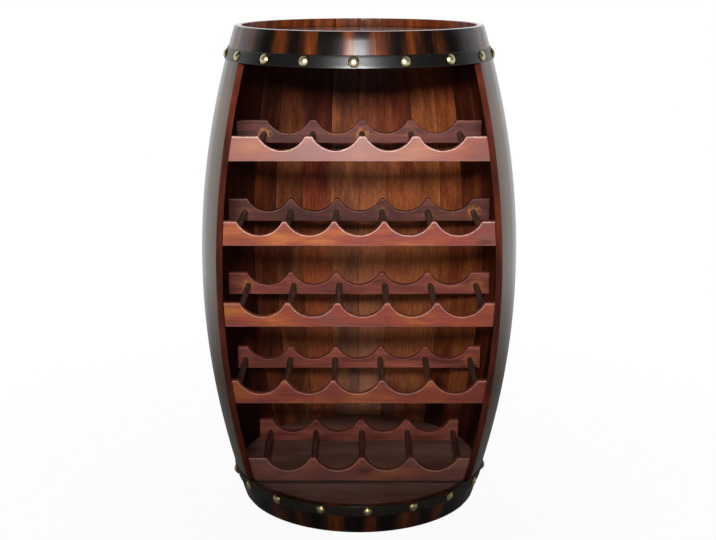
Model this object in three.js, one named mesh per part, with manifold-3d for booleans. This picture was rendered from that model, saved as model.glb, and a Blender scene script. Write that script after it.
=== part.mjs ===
// Barrel bottle rack: an upright coopered barrel with an open front and five tiers of bottle rails.
//
// Millimetres, +Z up, and the opening faces -Y. Staves stand edge to edge round the barrel, two
// riveted hoops hold them, two heads sit in grooves inside them, and scalloped rails cross the
// barrel in pairs, a front one and a rear one, with dowels between them under every crest.
// The barrel is drawn round its own axis first. The last lines put the middle of its box on the
// origin, because the open front leaves the axis off that middle.

import * as THREE from "three";
import * as BufferGeometryUtils from "three/addons/utils/BufferGeometryUtils.js";
import Module from "manifold-3d";

const wasm = await Module();
wasm.setup();

// Barrel
const barrelHeight = 760;
const endRadius = 191.5;
const bulge = 60;
const staveThickness = 11;
const staveJointGap = 0.3;
const staveEdgeChamfer = 1.5;
const openingHalfAngle = THREE.MathUtils.degToRad(59.5);

// Widths of the staves side by side, which are never quite alike in a barrel
const fullStaveShares = [
  1, 1.04, 0.96, 1.02, 0.98, 1.05, 0.95, 1.04, 1.02, 0.99,
  1.01, 1.03, 1.06, 0.97, 1, 0.94, 1.05, 0.98, 1.02, 0.97,
];
const shortStaveShares = [1, 1.05, 0.98, 1.28, 0.7, 1.02, 1, 1.08, 0.94];

// Hoops and their rivets
const hoopWidth = 18;
const hoopThickness = 1.2;
const hoopSetback = 32;
const hoopClearance = 0.3;
const rivetRadius = 8.2;
const rivetHeight = 4.5;
const upperRivetStart = THREE.MathUtils.degToRad(-2.2);
const lowerRivetStart = THREE.MathUtils.degToRad(3.6);

// Steps between neighbouring rivets, anticlockwise from the one in front, nailed by eye
const upperRivetShares = [
  1.03, 1.06, 1.1, 0.95, 1, 1, 1, 1, 1,
  1, 1, 1, 1, 1, 0.95, 0.98, 0.96, 1.01,
];
const lowerRivetShares = [
  1.02, 0.98, 1, 1, 1, 1, 1, 1, 1,
  1, 1, 1, 1, 1, 1, 1, 1.1, 1.02,
];

// Heads, each with a rebated rim whose tongue sits in a groove round the inside of the staves
const headThickness = 12;
const tongueThickness = 6;
const grooveDepth = 3.5;
const headClearance = 0.3;
const topHeadRecess = 13;
const floorRecess = 4;

// Rails. The lowest tier stands on the floor board, and the next is a little further up than the rest.
const railHeight = 37;
const railThickness = 12;
const railWallGap = 0.3;
const frontRailSetback = 1;
const rearRailBack = 92.5;
const floorTierRise = 136;
const tierPitch = 127.5;

// Cradles cut in the rails, one for each bottle, all with the same cutter. What is left standing
// between two of them is a crest with a narrow flat and two rounded corners.
const bottlePitch = 76.5;
const cradleDepth = 21.5;
const crestFlat = 4.5;
const crestRounding = 2;

// The cuts were spaced by eye, so each tier from the top down has its own pitch and stands a
// little off the middle, both given as shares of the bottle pitch.
const tierPitchShares = [1.045, 0.985, 1, 0.995, 1.03];
const tierOffsetShares = [0.06, 0, 0.065, -0.03, 0.06];

// A rear rail is sawn square and stops short of the curved wall. From the top down: how far back each
// stands as a share of rearRailBack, how far its cradles stand off the middle as a share of the
// bottle pitch, and how much of the room between the walls behind it it fills.
const rearDepthShares = [0.95, 0.8, 0.88, 0.77, 0.87];
const rearOffsetShares = [0.06, 0.015, 0, -0.02, 0.045];
const rearLengthShares = [0.99, 0.955, 0.975, 0.965, 0.97];

// Dowels, glued into the rear rail and socketed in the front one
const dowelRadius = 5;
const dowelHeight = 15;
const dowelRoot = 6;
const socketDepth = 6;
const socketClearance = 0.3;
const socketWall = 2;

const cutOverrun = 5;

// Facets
const wallRows = 10;
const facetsPerStave = 2;
const cradleFacets = 8;
const crestFacets = 1;
const dowelFacets = 8;
const rivetFacets = 10;
const rivetRings = 2;

// Sizes worked out from those
const bulgeRadius = endRadius + bulge;
const openingBottom = hoopSetback + hoopWidth;
const openingTop = barrelHeight - openingBottom;
const floorTop = openingBottom - floorRecess;
const topHeadTop = barrelHeight - topHeadRecess;

const lacqueredStave = new THREE.MeshStandardMaterial({ color: "#4a2414", roughness: 0.25, metalness: 0 });
const blackIron = new THREE.MeshStandardMaterial({ color: "#26262a", roughness: 0.45, metalness: 0.6 });
const redStainedPine = new THREE.MeshStandardMaterial({ color: "#9c4632", roughness: 0.45, metalness: 0 });
const darkStainedPine = new THREE.MeshStandardMaterial({ color: "#6a3830", roughness: 0.5, metalness: 0 });
const stainedBoard = new THREE.MeshStandardMaterial({ color: "#3c2420", roughness: 0.4, metalness: 0 });

const rack = new THREE.Group();
const barrel = new THREE.Group();
rack.add(barrel);

function addPiece(name, geometry, material) {
  const flat = geometry.index ? geometry.toNonIndexed() : geometry;
  flat.computeVertexNormals();
  const mesh = new THREE.Mesh(flat, material);
  mesh.name = name;
  barrel.add(mesh);
}

// Joins and cuts

function toSolid(geometry) {
  const bare = geometry.clone();
  bare.deleteAttribute("normal");
  bare.deleteAttribute("uv");
  const merged = BufferGeometryUtils.mergeVertices(bare);
  return new wasm.Manifold(
    new wasm.Mesh({
      numProp: 3,
      vertProperties: merged.attributes.position.array,
      triVerts: new Uint32Array(merged.index.array),
    }),
  );
}

function toGeometry(solid) {
  const mesh = solid.getMesh();
  const geometry = new THREE.BufferGeometry();
  geometry.setAttribute("position", new THREE.BufferAttribute(mesh.vertProperties, mesh.numProp));
  geometry.setIndex(new THREE.BufferAttribute(mesh.triVerts, 1));
  return geometry;
}

// The wall's curve: the radius at a height, widest half way up

function outerRadius(z) {
  const fromMiddle = (2 * z) / barrelHeight - 1;
  return endRadius + bulge * (1 - fromMiddle ** 2);
}

function innerRadius(z) {
  return outerRadius(z) - staveThickness;
}

// A row of values from one to another, both ends exact
function row(from, to, steps) {
  return Array.from({ length: steps + 1 }, (_, i) => THREE.MathUtils.lerp(from, to, i / steps));
}

// Angles are measured from the middle of the opening, anticlockwise seen from above.
function atAngle(angle, radius, z) {
  return new THREE.Vector3(radius * Math.sin(angle), -radius * Math.cos(angle), z);
}

// Places that divide a run from one angle to another in the given shares, both ends included
function jointAngles(from, to, shares) {
  const whole = shares.reduce((sum, share) => sum + share, 0);
  const joints = [from];
  let passed = 0;
  for (const share of shares) {
    passed += share;
    joints.push(THREE.MathUtils.lerp(from, to, passed / whole));
  }
  return joints;
}

const shortJoints = jointAngles(-openingHalfAngle, openingHalfAngle, shortStaveShares);
const fullJoints = jointAngles(openingHalfAngle, 2 * Math.PI - openingHalfAngle, fullStaveShares);

// Every ring and board that meets the staves is faceted at the staves' own angles, so that
// the faces lie parallel and the clearances hold all the way round.
const ringAngles = [shortJoints, fullJoints].flatMap((joints) =>
  joints.slice(1).flatMap((joint, i) => row(joints[i], joint, facetsPerStave).slice(0, -1)),
);

// Sweeps a closed section, given anticlockwise in the (radius, height) plane, through the angles.
function sweep(section, angles, closed) {
  const points = angles.flatMap((angle) => section.map((p) => atAngle(angle, p.x, p.y)));
  const size = section.length;
  const index = [];
  const last = closed ? angles.length : angles.length - 1;
  for (let i = 0; i < last; i++) {
    const here = i * size;
    const next = ((i + 1) % angles.length) * size;
    for (let j = 0; j < size; j++) {
      const k = (j + 1) % size;
      index.push(here + j, next + k, here + k, here + j, next + j, next + k);
    }
  }
  if (!closed) {
    const far = last * size;
    for (const [a, b, c] of THREE.ShapeUtils.triangulateShape(section, [])) {
      index.push(a, b, c, far + c, far + b, far + a);
    }
  }
  return new THREE.BufferGeometry().setFromPoints(points).setIndex(index);
}

// A solid board or plug: rings of the given radii and heights, from the bottom up, capped at both ends.
function stackRings(radii, heights) {
  const size = ringAngles.length;
  const points = radii.flatMap((radius, i) => ringAngles.map((angle) => atAngle(angle, radius, heights[i])));
  const index = [];
  for (let i = 0; i < radii.length - 1; i++) {
    for (let j = 0; j < size; j++) {
      const here = i * size + j;
      const next = i * size + ((j + 1) % size);
      index.push(here, next, next + size, here, next + size, here + size);
    }
  }
  const top = (radii.length - 1) * size;
  const outline = ringAngles.map((angle) => new THREE.Vector2(Math.sin(angle), -Math.cos(angle)));
  for (const [a, b, c] of THREE.ShapeUtils.triangulateShape(outline, [])) {
    index.push(c, b, a, top + a, top + b, top + c);
  }
  return new THREE.BufferGeometry().setFromPoints(points).setIndex(index);
}

// Staves. The groove for a head is part of their section.

function grooveRadius(headTop) {
  return Math.max(innerRadius(headTop), innerRadius(headTop - tongueThickness)) + grooveDepth;
}

function grooveCorners(headTop) {
  const upper = headTop + headClearance;
  const lower = headTop - tongueThickness - headClearance;
  return [
    new THREE.Vector2(innerRadius(upper), upper),
    new THREE.Vector2(grooveRadius(headTop), upper),
    new THREE.Vector2(grooveRadius(headTop), lower),
    new THREE.Vector2(innerRadius(lower), lower),
  ];
}

const onOuterFace = (z) => new THREE.Vector2(outerRadius(z), z);
const onInnerFace = (z) => new THREE.Vector2(innerRadius(z), z);
const topChamfer = barrelHeight - staveEdgeChamfer;

const outerFace = [
  new THREE.Vector2(outerRadius(0) - staveEdgeChamfer, 0),
  onOuterFace(staveEdgeChamfer),
  onOuterFace(hoopSetback),
  ...row(openingBottom, openingTop, wallRows).map(onOuterFace),
  onOuterFace(barrelHeight - hoopSetback),
  onOuterFace(topChamfer),
  new THREE.Vector2(outerRadius(barrelHeight) - staveEdgeChamfer, barrelHeight),
];
const innerFace = [
  new THREE.Vector2(innerRadius(barrelHeight) + staveEdgeChamfer, barrelHeight),
  onInnerFace(topChamfer),
  ...grooveCorners(topHeadTop),
  ...row(openingTop, openingBottom, wallRows).map(onInnerFace),
  ...grooveCorners(floorTop),
  onInnerFace(staveEdgeChamfer),
  new THREE.Vector2(innerRadius(0) + staveEdgeChamfer, 0),
];

function addStaves(name, joints, low, high, digits) {
  const section = [...outerFace, ...innerFace].filter((p) => p.y >= low && p.y <= high);
  const halfGap = staveJointGap / bulgeRadius / 2;
  joints.slice(1).forEach((joint, i) => {
    const angles = row(joints[i] + halfGap, joint - halfGap, facetsPerStave);
    const number = String(i + 1).padStart(digits, "0");
    addPiece(`${name}_${number}`, sweep(section, angles, false), lacqueredStave);
  });
}

addStaves("stave", fullJoints, 0, barrelHeight, 2);
addStaves("upper_short_stave", shortJoints, openingTop, barrelHeight, 1);
addStaves("lower_short_stave", shortJoints, 0, openingBottom, 1);

// Heads

function head(top) {
  const bottom = top - headThickness;
  const step = top - tongueThickness;
  const body = Math.min(innerRadius(bottom), innerRadius(step)) - headClearance;
  const tongue = grooveRadius(top) - headClearance;
  return stackRings([body, body, tongue, tongue], [bottom, step, step, top]);
}

addPiece("top_head", head(topHeadTop), stainedBoard);
addPiece("floor_board", head(floorTop), stainedBoard);

// Hoops: a band that leans with the wall, and domed rivets standing square on it

function rivet() {
  const domeRadius = (rivetRadius ** 2 + rivetHeight ** 2) / (2 * rivetHeight);
  const domeCentre = rivetHeight - domeRadius;
  const rim = 2 * Math.atan(rivetHeight / rivetRadius);
  const dome = row(rim, 0, rivetRings).map(
    (angle) => new THREE.Vector2(domeRadius * Math.sin(angle), domeCentre + domeRadius * Math.cos(angle)),
  );
  const root = -hoopThickness / 2;
  return new THREE.LatheGeometry(
    [new THREE.Vector2(0, root), new THREE.Vector2(rivetRadius, root), ...dome],
    rivetFacets,
  );
}

function hoop(low, rivetStart, rivetShares) {
  const high = low + hoopWidth;
  const bottom = outerRadius(low) + hoopClearance;
  const top = outerRadius(high) + hoopClearance;
  const band = [
    new THREE.Vector2(bottom, low),
    new THREE.Vector2(bottom + hoopThickness, low),
    new THREE.Vector2(top + hoopThickness, high),
    new THREE.Vector2(top, high),
  ];
  let solid = toSolid(sweep(band, ringAngles, true));
  const lean = Math.atan2(top - bottom, hoopWidth);
  const middleRadius = (bottom + top) / 2 + hoopThickness;
  for (const angle of jointAngles(rivetStart, rivetStart + 2 * Math.PI, rivetShares).slice(0, -1)) {
    const place = atAngle(angle, middleRadius, (low + high) / 2);
    const outward = atAngle(angle, Math.cos(lean), -Math.sin(lean));
    const turn = new THREE.Quaternion().setFromUnitVectors(new THREE.Vector3(0, 1, 0), outward);
    const placed = rivet().applyQuaternion(turn).translate(place.x, place.y, place.z);
    solid = solid.add(toSolid(placed));
  }
  return toGeometry(solid);
}

addPiece("upper_hoop", hoop(openingTop, upperRivetStart, upperRivetShares), blackIron);
addPiece("lower_hoop", hoop(hoopSetback, lowerRivetStart, lowerRivetShares), blackIron);

// Rails. Each cradle is an arc, and the rounding at either side of it is a smaller arc that runs
// smoothly into it. The distance between the two arcs' centres follows from the cradle's depth and
// from its reach to either side, and what the rounding leaves of it is the cradle's radius.

const cradleReach = (bottlePitch - crestFlat) / 2;
const centreDistance = (cradleReach ** 2 / cradleDepth + cradleDepth) / 2;
const cradleRadius = centreDistance - crestRounding;
const meeting = Math.atan2(centreDistance - cradleDepth, cradleReach);

function railOutline(bottles, pitch, offset, halfLength) {
  const cradleLevel = railHeight - cradleDepth + cradleRadius;
  const roundingLevel = railHeight - crestRounding;
  const rounding = (x, from, to) =>
    new THREE.ArcCurve(x, roundingLevel, crestRounding, from, to, false).getPoints(crestFacets);
  const cradle = (x) =>
    new THREE.ArcCurve(x, cradleLevel, cradleRadius, -meeting, meeting - Math.PI, true).getPoints(cradleFacets);
  const outline = [
    new THREE.Vector2(-halfLength, 0),
    new THREE.Vector2(halfLength, 0),
    new THREE.Vector2(halfLength, railHeight),
  ];
  for (let i = 0; i < bottles; i++) {
    const x = offset + pitch * ((bottles - 1) / 2 - i);
    outline.push(...rounding(x + cradleReach, Math.PI / 2, Math.PI - meeting));
    outline.push(...cradle(x).slice(1));
    outline.push(...rounding(x - cradleReach, meeting, Math.PI / 2).slice(1));
  }
  outline.push(new THREE.Vector2(-halfLength, railHeight));
  return outline;
}

// The room inside the staves, less the gap at a rail's ends
const roomLevels = [floorTop, ...row(openingBottom, openingTop, wallRows)];
const room = toSolid(
  stackRings(
    roomLevels.map((z) => innerRadius(z) - railWallGap),
    roomLevels,
  ),
);

// A scalloped board that stands across the barrel, trimmed to the curved wall where it reaches it
function railSolid(outline, front, bottom) {
  const board = new THREE.ExtrudeGeometry(new THREE.Shape(outline), {
    depth: railThickness,
    bevelEnabled: false,
  });
  board.rotateX(Math.PI / 2).translate(0, front + railThickness, bottom);
  return toSolid(board).intersect(room);
}

function rod(radius, front, back, x, z) {
  const geometry = new THREE.CylinderGeometry(radius, radius, back - front, dowelFacets);
  return toSolid(geometry.translate(x, (front + back) / 2, z));
}

// A tier's two rails, with its front rail flush with the edges of the opening. It holds as many
// bottles as leave wood round the last dowels, at the ends of both rails.
function tier(bottom, i) {
  const pitch = bottlePitch * (tierPitchShares[i] ?? 1);
  const offset = bottlePitch * (tierOffsetShares[i] ?? 0);
  const rearOffset = bottlePitch * (rearOffsetShares[i] ?? 0);
  const narrowest = Math.min(innerRadius(bottom), innerRadius(bottom + railHeight));
  const front = frontRailSetback - narrowest * Math.cos(openingHalfAngle);
  const back = front + railThickness;
  const rearBack = rearRailBack * (rearDepthShares[i] ?? 1);
  const rearFront = rearBack - railThickness;
  const rearHalfLength = Math.sqrt(narrowest ** 2 - rearBack ** 2) * (rearLengthShares[i] ?? 1);
  const halfLength = Math.min(Math.sqrt(narrowest ** 2 - back ** 2), rearHalfLength);
  const lastSocket = halfLength - socketWall - socketClearance - dowelRadius;
  const bottles = Math.floor((2 * (lastSocket - Math.abs(offset))) / pitch);
  const outline = railOutline(bottles, pitch, offset, bulgeRadius);
  const rearOutline = railOutline(bottles, pitch, rearOffset, rearHalfLength);
  let frontRail = railSolid(outline, front, bottom);
  let rearRail = railSolid(rearOutline, rearFront, bottom);
  const socketEnd = back - socketDepth;
  const z = bottom + dowelHeight;
  for (let crest = 0; crest <= bottles; crest++) {
    const x = offset + pitch * (crest - bottles / 2);
    frontRail = frontRail.subtract(rod(dowelRadius + socketClearance, socketEnd, back + cutOverrun, x, z));
    rearRail = rearRail.add(rod(dowelRadius, socketEnd + socketClearance, rearFront + dowelRoot, x, z));
  }
  return { frontRail, rearRail };
}

// As many tiers as leave room for a bottle under the top of the opening, numbered from the top
const bottleRoom = railHeight - cradleDepth + 2 * cradleRadius;
const secondTier = floorTop + floorTierRise;
const tierLevels = [floorTop];
for (let z = secondTier; z + bottleRoom <= openingTop; z += tierPitch) tierLevels.unshift(z);

tierLevels.forEach((bottom, i) => {
  const { frontRail, rearRail } = tier(bottom, i);
  addPiece(`front_rail_${i + 1}`, toGeometry(frontRail), redStainedPine);
  addPiece(`rear_rail_${i + 1}`, toGeometry(rearRail), darkStainedPine);
});

// The middle of the whole box goes over the origin.
const box = new THREE.Box3().setFromObject(barrel);
barrel.position.y = -(box.min.y + box.max.y) / 2;

export default rack;
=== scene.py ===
# %% [markdown]
# # Dressing a barrel bottle rack
# The real object is an upright coopered barrel with its front cut open and five tiers of scalloped
# bottle rails inside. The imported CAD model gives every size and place. This lesson keeps it as a
# fixed frame and dresses each of its nodes with a finer piece: rounded edges, domed rivets, and
# wood, iron and brass finishes made only of nodes.

# %% Load the frame
import math

import bmesh
import bpy
import numpy as np
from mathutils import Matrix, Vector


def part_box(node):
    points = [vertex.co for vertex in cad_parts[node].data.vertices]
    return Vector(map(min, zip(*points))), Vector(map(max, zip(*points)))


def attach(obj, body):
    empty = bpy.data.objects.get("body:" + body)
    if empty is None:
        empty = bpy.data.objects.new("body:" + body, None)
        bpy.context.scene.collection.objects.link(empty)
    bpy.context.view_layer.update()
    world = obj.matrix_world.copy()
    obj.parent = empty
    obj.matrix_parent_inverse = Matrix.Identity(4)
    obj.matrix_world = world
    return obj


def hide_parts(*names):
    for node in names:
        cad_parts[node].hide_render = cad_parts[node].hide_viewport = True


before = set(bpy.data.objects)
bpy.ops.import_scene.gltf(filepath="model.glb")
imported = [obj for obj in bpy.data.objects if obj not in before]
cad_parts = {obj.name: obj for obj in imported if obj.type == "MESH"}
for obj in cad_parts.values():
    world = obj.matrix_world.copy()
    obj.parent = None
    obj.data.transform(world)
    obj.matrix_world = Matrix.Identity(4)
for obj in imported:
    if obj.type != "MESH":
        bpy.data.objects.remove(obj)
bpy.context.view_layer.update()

MM = 0.001

# %% [markdown]
# ## Where the camera stands
# The photograph was taken from a little above the barrel's top, straight in front of the opening.
# Vanishing lines can be matched by eye, but here a pinhole camera was fitted to the rims and hoops,
# which are circles of known height, and it lands within half a pixel. So its numbers are used as
# they are: place, tilt and focal length.

# %% Camera
IMAGE_WIDTH = 716
FOCAL_PIXELS = 1238.6
SENSOR_WIDTH = 36
DOWNWARD_TILT = 14.25
CAMERA_PLACE = (-1.8 * MM, -1963.9 * MM, 862.5 * MM)
camera_data = bpy.data.cameras.new("camera")
camera_data.sensor_width = SENSOR_WIDTH
camera_data.lens = SENSOR_WIDTH * FOCAL_PIXELS / IMAGE_WIDTH
camera = bpy.data.objects.new("camera", camera_data)
camera.location = CAMERA_PLACE
camera.rotation_euler = (math.radians(90 - DOWNWARD_TILT), 0, 0)
bpy.context.scene.collection.objects.link(camera)
bpy.context.scene.camera = camera
bpy.context.scene.view_settings.view_transform = "Standard"
print("lens in mm:", round(camera_data.lens, 2))

# %% [markdown]
# ## Colours and nodes
# Colours are picked as sRGB hex values, the way a picture shows them, while shader sockets hold
# linear light, so one function turns one into the other. A node tree could take a dozen lines for
# each node. It is easier to read when a node is one call that names its settings and what feeds
# it, so a second function does just that, and every tree below is made with it.

# %% Colour and node tools
def linear(colour):
    """A hex colour as Blender's sockets want it: linear red, green, blue and a full alpha."""
    parts = [int(colour[i : i + 2], 16) / 255 for i in (1, 3, 5)]
    return [c / 12.92 if c <= 0.04045 else ((c + 0.055) / 1.055) ** 2.4 for c in parts] + [1]


def add(tree, kind, inputs=None, stops=None, out=None, **settings):
    """Adds a node with its settings. An input takes a value, or a link if it is given a socket."""
    made = tree.nodes.new("ShaderNode" + kind)
    for name, value in settings.items():
        setattr(made, name, value)
    for name, value in (inputs or {}).items():
        named = [s for s in made.inputs if s.enabled and s.name == name]
        target = made.inputs[name] if isinstance(name, int) else named[0]
        if isinstance(value, bpy.types.NodeSocket):
            tree.links.new(value, target)
        else:
            target.default_value = linear(value) if isinstance(value, str) else value
    for i, (place, colour) in enumerate(stops or []):
        ramp = made.color_ramp
        stop = ramp.elements[i] if i < 2 else ramp.elements.new(place)
        stop.position, stop.color = place, linear(colour)
    shown = [s for s in made.outputs if s.enabled and out in (None, s.name)]
    return shown[0] if shown else made


print("brown #8a3e18 in linear light:", [round(c, 3) for c in linear("#8a3e18")])

# %% [markdown]
# ## What a finish is
# Stained wood, painted iron and brass differ in colour, in how sharp their reflections are, and in
# the small relief that breaks those up. Each could be a photographed texture, but node patterns
# follow every board in real millimetres and stay sharp close by. So a finish here is one
# Principled shader with a function for its colour and another for its skin, the fine relief.

# %% Finish tool
OIL_AND_LACQUER_IOR = 1.5


def finish(name, colour, skin, **surface):
    """A material with one Principled shader. colour and skin are functions that add to its tree."""
    material = bpy.data.materials.new(name)
    material.use_nodes = True
    tree = material.node_tree
    tree.nodes.clear()
    inputs = {}
    for key, value in surface.items():
        inputs[key.replace("_", " ").title().replace("Ior", "IOR")] = value
    inputs["Base Color"] = colour(tree)
    if skin:
        relief, depth = skin(tree)
        inputs["Normal"] = add(tree, "Bump", {"Height": relief, "Distance": depth, "Strength": 1.0})
    add(tree, "OutputMaterial", {"Surface": add(tree, "BsdfPrincipled", inputs)})
    return material


print("stain, oil and lacquer bend light alike, IOR", OIL_AND_LACQUER_IOR)

# %% [markdown]
# ## The barrel's own measures
# Staves, hoops, heads and rails all follow one curved wall. Its sizes could be typed in again, but
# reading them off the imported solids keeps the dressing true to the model. The floor board's rim is
# a circle round the barrel's axis. The widest point of a stave at each height gives the wall's
# outside, and a parabola fits it. A solid has points at the head grooves too, but only on its
# inside, so those heights are left out: going in from either end, a height counts only where it
# is at least as wide as all before it. The widest place, halfway up, is called the bilge.

# %% Measure the axis
SAME_HEIGHT = MM / 20
RIM_DEPTH = 1.5 * MM


def vertices(node):
    return np.array([v.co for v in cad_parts[node].data.vertices])


def row(points, z):
    """Those of the points that lie at one height."""
    return points[abs(points[:, 2] - z) < SAME_HEIGHT]


def radius_from_axis(points):
    return np.hypot(points[..., 0], points[..., 1] - axis_y)


def angle_round_axis(points):
    """The angle from the middle of the opening, anticlockwise seen from above."""
    return np.arctan2(points[..., 0], axis_y - points[..., 1])


board = vertices("floor_board")
reach = np.hypot(*(board[:, :2] - board[:, :2].mean(0)).T)
rim = board[reach > reach.max() - RIM_DEPTH][:, :2]
terms = np.column_stack([2 * rim, np.ones(len(rim))])
axis_y = float(np.linalg.lstsq(terms, (rim**2).sum(1), rcond=None)[0][1])
print("the axis stands at y, in mm:", round(axis_y / MM, 2))

# %% Measure the wall
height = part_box("stave_10")[1].z
sample = vertices("stave_10")
levels = np.unique(sample[:, 2].round(5))[1:-1]
widest = np.array([radius_from_axis(row(sample, z)).max() for z in levels])
from_below = np.maximum.accumulate(widest)
from_above = np.maximum.accumulate(widest[::-1])[::-1]
outside = (widest == from_below) | (widest == from_above)
wall = np.polynomial.Polynomial.fit(levels[outside], widest[outside], 2)
bilge = wall(height / 2)
middle = radius_from_axis(sample[abs(sample[:, 2] - height / 2) < 1 * MM])
thickness = float(middle.max() - middle.min())
print("wall radius at the end and the bilge, and thickness, in mm:",
      [round(float(v) / MM, 2) for v in (wall(0), bilge, thickness)])

# %% [markdown]
# ## One way to build nearly everything
# A stave, a hoop and a rail are all long pieces with one section that changes a little along the
# way. Boxes with a bevel modifier could make them, but a loft gives closer control: the section
# is a loop of points, copies of it are laid along the piece, and quads join each copy to the next.
# Where a corner is rounded, the loops near it are drawn in by a quarter circle.

# %% Lofting tools
QUARTER = np.radians([0, 30, 60, 90])


def rounded_run(low, high, radius, between):
    """Places from low to high, and how far each draws in, for ends rounded to a radius."""
    along, inward = radius * (1 - np.cos(QUARTER)), radius * (1 - np.sin(QUARTER))
    places = np.concatenate([low + along, between, (high - along)[::-1]])
    return places, np.concatenate([inward, np.zeros(len(between)), inward[::-1]])


def loft(loops, closed=False):
    """Quads between neighbouring loops, then across both ends, and the span of each, -1 at ends."""
    count, size = loops.shape[:2]
    faces, spans = [], []
    for i in range(count if closed else count - 1):
        here, there = i * size, (i + 1) % count * size
        for j in range(size):
            k = (j + 1) % size
            faces.append((here + j, there + j, there + k, here + k))
            spans.append(j)
    if not closed:
        for start in (0, (count - 1) * size):
            for j in range(size // 2 - 1):
                k = size - 1 - j
                faces.append((start + j, start + j + 1, start + k - 1, start + k))
                spans.append(-1)
    return faces, spans


print("a 1 mm rounded corner draws in by, in mm:",
      rounded_run(0, 0.01, MM, [])[1][:4].round(6) / MM)

# %% [markdown]
# ## From points to a piece
# Every piece becomes a closed mesh that rides on the rack's one body and may stand for a CAD node.
# Its points carry attributes that the finishes read, such as where a point lies on its own board,
# in metres, how near it is to the board's edge, and a number that makes each board a little
# different. UV maps could carry the first of these, but attributes need no unwrapping, and they
# give the third direction too. Edges that turn by more than 32 degrees stay sharp.

# %% Piece tool
SHARP_TURN = math.radians(32)


def make_piece(name, points, faces, finishes, face_finish=None, node=None, slot=None, **attributes):
    """A smooth, closed mesh that rides on the rack and carries the given point attributes."""
    mesh = bpy.data.meshes.new(name)
    mesh.from_pydata(points.reshape(-1, 3).tolist(), [], faces)
    for label, values in attributes.items():
        values = np.asarray(values, dtype=np.float32)
        kind = "FLOAT_VECTOR" if values.shape[-1:] == (3,) else "FLOAT"
        layer = mesh.attributes.new(label, kind, "POINT")
        layer.data.foreach_set("vector" if kind == "FLOAT_VECTOR" else "value", values.ravel())
    for material in finishes:
        mesh.materials.append(material)
    if face_finish is not None:
        mesh.polygons.foreach_set("material_index", face_finish)
    work = bmesh.new()
    work.from_mesh(mesh)
    bmesh.ops.recalc_face_normals(work, faces=work.faces)
    work.to_mesh(mesh)
    work.free()
    mesh.shade_smooth()
    mesh.set_sharp_from_angle(angle=SHARP_TURN)
    piece = bpy.data.objects.new(name, mesh)
    bpy.context.scene.collection.objects.link(piece)
    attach(piece, "root")
    if node:
        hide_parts(node)
    return piece


print("sharp from an angle of", round(math.degrees(SHARP_TURN)), "degrees")

# %% [markdown]
# ## Patterns in real millimetres
# Grain and stain blotches are patterns of a known size. A noise texture has no size of its own, so
# the point's place on its board is divided by the size of the spots, and the noise is read there.
# Real pores are about 0.3 mm apart, and a pixel of the photograph is 1.5 mm, so the finest grain is
# drawn 1.2 to 2.2 mm apart, as coarse as it needs to show.

# %% Pattern tools
FACTOR, FIRST, SECOND = 0, 6, 7      # the Mix node's sockets for colours, which it numbers


def on_board(tree, across, along):
    """The point's place on its own board, in units of the given sizes in mm."""
    board = add(tree, "Attribute", attribute_name="board")
    scale = (1 / (across * MM), 1 / (across * MM), 1 / (along * MM))
    return add(tree, "VectorMath", {0: board, 1: scale}, operation="MULTIPLY")


def spots(tree, across, along, detail=2.0, roughness=0.5):
    """Inputs of a noise texture whose spots have the given sizes in mm."""
    return {"Vector": on_board(tree, across, along), "Scale": 1.0,
            "Detail": detail, "Roughness": roughness}


def between(low, high, to_low=0.0, to_high=1.0):
    """Inputs of a map range node: the range that it reads and the range that it gives."""
    return {"From Min": low, "From Max": high, "To Min": to_low, "To Max": to_high}


def mottle(tree, size, low, high, detail=2.0, roughness=0.5, read=(0.3, 0.7)):
    """A number from low to high that varies in spots of the given size in mm, (across, along)."""
    noise = add(tree, "TexNoise", spots(tree, *size, detail, roughness))
    return add(tree, "MapRange", {"Value": noise, **between(*read, low, high)})


def grained(tree, colour, *pattern, **reading):
    """The colour made darker and lighter by a mottle, low being its darkest factor."""
    factor = mottle(tree, *pattern, **reading)
    return add(tree, "VectorMath", {0: colour, "Scale": factor}, operation="SCALE")


print("what a range node is told:", between(0.3, 0.7))

# %% [markdown]
# ## Outside of the staves: shaded stain under gloss lacquer
# The outside of each stave is stained orange-brown, then shaded with near-black colour along its
# edges, so that every stave has a glowing middle. Round the belly the spray was even, so the stain
# turns into one plain brown there. Gloss lacquer covers it all, and the eye reads that as deep
# colour below a hard, clear skin. A picture of wood could be wrapped round it, but the shading has
# to follow each stave, so a ramp reads how far a point is from its stave's middle, and noise blurs
# the ramp the way a spray gun does. Grain lines stand 1.4 mm apart and run about 60 mm.

# %% Finish: lacquered staves
BELLY_SHADE = 0.2


def shaded_stain(tree):
    side = add(tree, "Attribute", attribute_name="side")
    shade = add(tree, "Math", {0: side}, operation="ABSOLUTE")
    blur = mottle(tree, (16, 90), -0.22, 0.22, 3)
    tone = add(tree, "Attribute", out="Fac", attribute_name="tone")
    tone = add(tree, "MapRange", {"Value": tone, **between(0, 1, -0.16, 0.26)})
    shade = add(tree, "Math", {0: shade, 1: blur}, operation="ADD")
    shade = add(tree, "Math", {0: shade, 1: tone}, operation="ADD")
    belly = add(tree, "Attribute", out="Fac", attribute_name="belly")
    shade = add(tree, "Math", {0: shade, 1: belly}, operation="ADD")
    stain = add(tree, "ValToRGB", {"Fac": shade}, [
        (0.0, "#6e3310"), (0.2, "#52260e"), (0.45, "#24120a"), (0.65, "#100906"), (0.9, "#090605")])
    evenness = add(tree, "MapRange", {"Value": belly, **between(0, BELLY_SHADE, 0, 0.75)})
    stain = add(tree, "Mix", {FACTOR: evenness, FIRST: stain, SECOND: "#5c4229"}, data_type="RGBA")
    return grained(tree, stain, (1.4, 60), 0.55, 1.35, 4, 0.65)


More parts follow.
